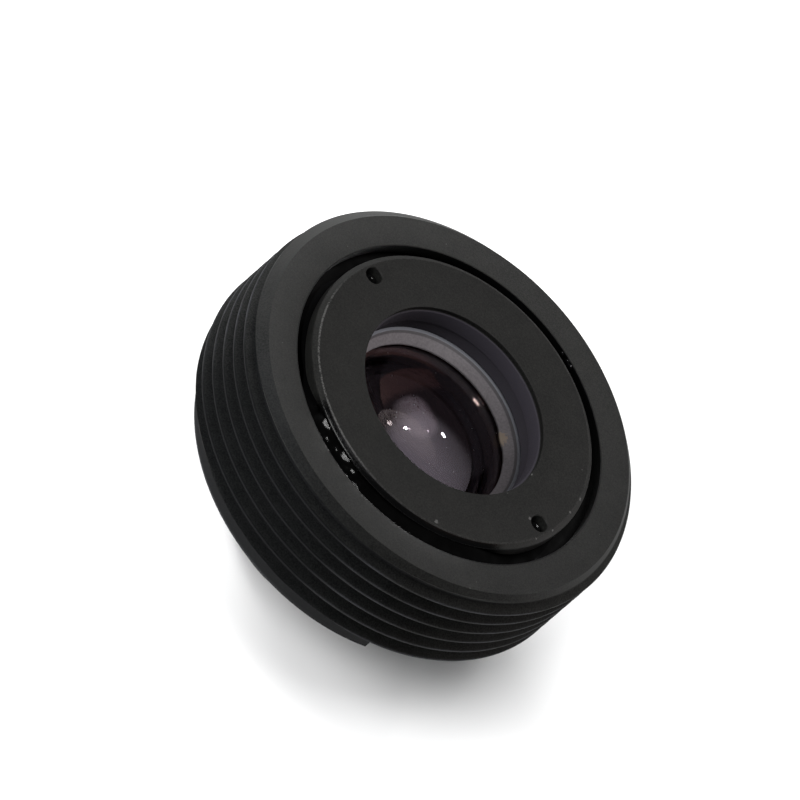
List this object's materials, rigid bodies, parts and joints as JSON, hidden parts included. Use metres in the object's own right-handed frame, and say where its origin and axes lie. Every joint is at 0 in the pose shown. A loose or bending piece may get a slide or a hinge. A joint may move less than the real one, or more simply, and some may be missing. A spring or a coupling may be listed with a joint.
{
  "type": "m12 board camera lens",
  "caption": "Black board camera lens with a fine-threaded barrel, a glued retaining ring round a recessed coated element, a slotted boss and a conical nose with a small front opening.",
  "frame": {"origin": "on the optical axis, in the flat front plane of the nose", "axes": "+Z along the optical axis, from the nose to the sensor side that the picture shows; +X and +Y square to it, with -Y towards the picture's camera"},
  "size_m": [0.012, 0.012, 0.007],
  "materials": {
    "barrel": "fine matte black anodising",
    "retaining_ring": "fine matte black anodising",
    "adhesive_bead": "wet-looking black adhesive",
    "seat_ring": "pale satin",
    "rear_lens": "polished, lilac anti-reflection coating",
    "rear_spacer": "matte black paint",
    "third_lens": "polished, anti-reflection coating",
    "middle_spacer": "matte black paint",
    "second_lens": "polished, anti-reflection coating",
    "aperture_stop": "matte black paint",
    "front_spacer": "matte black paint",
    "front_lens": "polished, anti-reflection coating"
  },
  "bodies": {
    "root": {"barrel": "barrel", "retaining_ring": "retaining_ring", "adhesive_bead": "adhesive_bead", "seat_ring": "seat_ring", "rear_lens": "rear_lens", "rear_spacer": "rear_spacer", "third_lens": "third_lens", "middle_spacer": "middle_spacer", "second_lens": "second_lens", "aperture_stop": "aperture_stop", "front_spacer": "front_spacer", "front_lens": "front_lens"}
  },
  "joints": []
}
